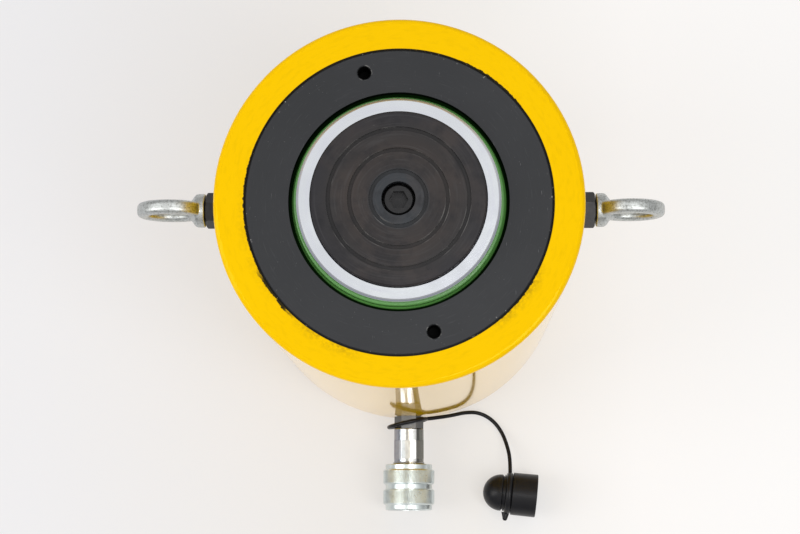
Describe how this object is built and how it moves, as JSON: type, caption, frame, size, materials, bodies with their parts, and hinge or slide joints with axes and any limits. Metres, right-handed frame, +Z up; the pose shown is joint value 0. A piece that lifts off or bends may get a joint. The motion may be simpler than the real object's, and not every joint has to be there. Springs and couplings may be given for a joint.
{
  "type": "single-acting hydraulic cylinder",
  "caption": "Load-return hydraulic cylinder with a yellow barrel, chromed plunger, grooved saddle, lifting eyes and a quick coupler with its dust cap lying beside it.",
  "frame": {"origin": "centre of the base face on the cylinder's axis", "axes": "+Z up along the plunger's travel, -Y out along the coupler, +-X along the lifting eyes"},
  "size_m": [0.318, 0.2934, 0.3407],
  "materials": {
    "yellow_paint": "gloss",
    "black_phosphate": "satin",
    "hard_chrome": "ground",
    "dark_steel": "satin",
    "bright_steel": "turned",
    "black_oxide": "satin",
    "zinc_plate": "plated",
    "spring_steel": "drawn",
    "green_polyurethane": "satin",
    "seal_rubber": "matt",
    "guide_resin": "matt",
    "white_resin": "matt",
    "cap_rubber": "satin"
  },
  "bodies": {
    "barrel": {"cylinder_body": "yellow_paint", "stop_ring": "black_phosphate", "stop_ring_wear_bands": "guide_resin", "wiper_seal": "green_polyurethane", "eyebolt_left": "zinc_plate", "eyebolt_right": "zinc_plate", "locknut_left": "black_oxide", "locknut_right": "black_oxide", "coupler_adapter": "zinc_plate", "coupler_body": "zinc_plate", "coupler_seal": "seal_rubber", "coupler_spring": "spring_steel", "coupler_retaining_ring": "spring_steel", "strap_coupler_loop": "cap_rubber", "strap": "cap_rubber", "strap_cap_loop": "cap_rubber", "dust_cap": "cap_rubber"},
    "ram": {"plunger": "hard_chrome", "piston": "bright_steel", "piston_wear_bands": "guide_resin", "piston_seal": "seal_rubber", "piston_backup_ring": "white_resin", "piston_o_ring": "seal_rubber", "piston_screws": "black_oxide", "saddle": "dark_steel", "saddle_screw": "black_oxide", "saddle_washer": "spring_steel"},
    "coupler_sleeve": {"coupler_sleeve": "zinc_plate"},
    "coupler_ball": {"coupler_ball": "bright_steel"}
  },
  "joints": [
    {"name": "plunger_slide", "type": "slide", "parent": "barrel", "child": "ram", "axis": [0, 0, 1], "range_m": [0, 0.15]},
    {"name": "sleeve_spin", "type": "hinge", "parent": "barrel", "child": "coupler_sleeve", "pos_m": [0, -0.16, 0.028], "axis": [0, -1, 0], "continuous": true},
    {"name": "ball_slide", "type": "slide", "parent": "barrel", "child": "coupler_ball", "axis": [0, 1, 0], "range_m": [0, 0.003], "stiffness_N_per_m": 1500, "springref_m": -0.002, "deforming": ["coupler_spring"]}
  ]
}
